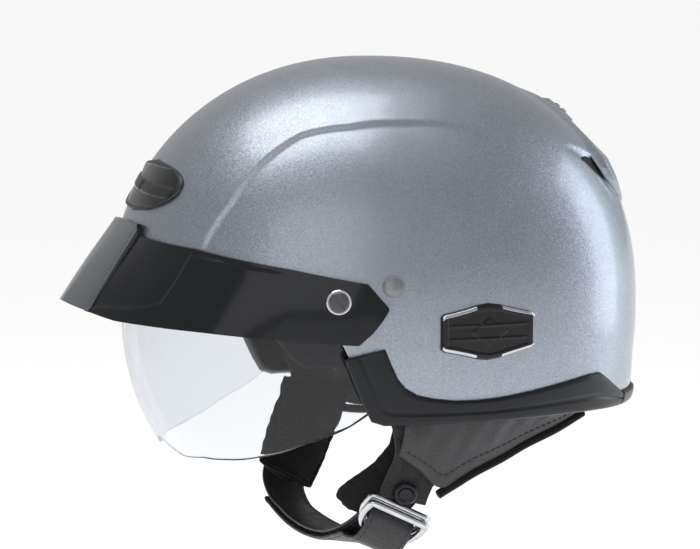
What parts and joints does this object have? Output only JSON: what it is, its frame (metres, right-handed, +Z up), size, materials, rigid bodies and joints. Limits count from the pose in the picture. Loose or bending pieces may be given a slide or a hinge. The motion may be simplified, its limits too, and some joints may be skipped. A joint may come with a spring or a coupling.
{
  "type": "open face motorcycle helmet",
  "caption": "Half shell motorcycle helmet with a fixed peak, a clear shield that swings up into the shell, edge trims, comfort lining and a buckled double D-ring chin strap.",
  "frame": {"origin": "where the crown of the wearer's head meets the lining, on the helmet's middle plane", "axes": "-Y to the front (the peak), +X to the wearer's left (the buckle side), +Z up"},
  "size_m": [0.235, 0.3114, 0.2567],
  "materials": {
    "shell_paint": "metallic silver lacquer",
    "liner_foam": "dark polystyrene foam",
    "lining_cloth": "brushed knit",
    "pad_cloth": "brushed knit",
    "trim_plastic": "satin",
    "edge_rubber": "matte",
    "peak_gloss": "gloss black",
    "screw_steel": "dark plated",
    "chrome_ring": "polished",
    "plate_steel": "plain",
    "rivet_paint": "satin grey",
    "plaque_gloss": "black with bright bevels",
    "badge_metal": "dark brushed",
    "vent_plastic": "satin black",
    "shield_clear": "clear with a light grey tint",
    "webbing": "woven",
    "ring_steel": "plated",
    "panel_leather": "soft grain",
    "piping_cloth": "woven tape",
    "snap_metal": "black plated"
  },
  "bodies": {
    "helmet": {"outer_shell": "shell_paint", "eps_liner": "liner_foam", "crown_pad": "lining_cloth", "brow_pad": "lining_cloth", "side_pad_left": "lining_cloth", "side_pad_right": "lining_cloth", "nape_pad": "lining_cloth", "side_trim_left": "trim_plastic", "side_trim_right": "trim_plastic", "rear_trim": "trim_plastic", "brow_beading": "edge_rubber", "peak": "peak_gloss", "peak_clip": "peak_gloss", "peak_screw_left": "screw_steel", "peak_screw_right": "screw_steel", "peak_washer_left": "chrome_ring", "peak_washer_right": "chrome_ring", "peak_nut_left": "plate_steel", "peak_nut_right": "plate_steel", "strap_rivet_left": "rivet_paint", "strap_rivet_right": "rivet_paint", "strap_hanger_left": "plate_steel", "strap_hanger_right": "plate_steel", "side_plaque_left": "plaque_gloss", "side_plaque_right": "plaque_gloss", "front_badge": "badge_metal", "rear_stud": "trim_plastic", "rear_fairing": "shell_paint", "vent_grille_left": "vent_plastic", "vent_grille_right": "vent_plastic", "pivot_plate_left": "plate_steel", "pivot_plate_right": "plate_steel", "pivot_cap_left": "screw_steel", "pivot_cap_right": "screw_steel", "chin_strap": "webbing", "buckle_strap": "webbing", "strap_pad_left": "pad_cloth", "strap_pad_right": "pad_cloth", "nape_panel_left": "panel_leather", "nape_panel_right": "panel_leather", "nape_piping_left": "piping_cloth", "nape_piping_right": "piping_cloth", "strap_snap": "snap_metal", "tail_snap": "snap_metal"},
    "shield_body": {"shield": "shield_clear", "shield_hub_left": "vent_plastic", "shield_hub_right": "vent_plastic"},
    "slider": {"slider_button": "vent_plastic"},
    "ring_inner": {"d_ring_inner": "ring_steel"},
    "ring_outer": {"d_ring_outer": "ring_steel"}
  },
  "joints": [
    {"name": "shield_pivot", "type": "hinge", "parent": "helmet", "child": "shield_body", "pos_m": [0, -0.0045, -0.0955], "axis": [-1, 0, 0], "range_deg": [0, 72]},
    {"name": "slider_travel", "type": "hinge", "parent": "helmet", "child": "slider", "pos_m": [0, 0.025, -0.084], "axis": [1, 0, 0], "range_deg": [0, 7]},
    {"name": "d_ring_inner_swing", "type": "hinge", "parent": "helmet", "child": "ring_inner", "pos_m": [0.0814, -0.00444, -0.18507], "axis": [0, 0.9026, -0.4305], "range_deg": [-1.2, 1.2]},
    {"name": "d_ring_outer_swing", "type": "hinge", "parent": "helmet", "child": "ring_outer", "pos_m": [0.085, -0.00594, -0.1882], "axis": [0, 0.9026, -0.4305], "range_deg": [-1.2, 1.2]}
  ],
  "couplings": [
    {"joint": "slider_travel", "follows": "shield_pivot", "ratio": 0.0972}
  ]
}
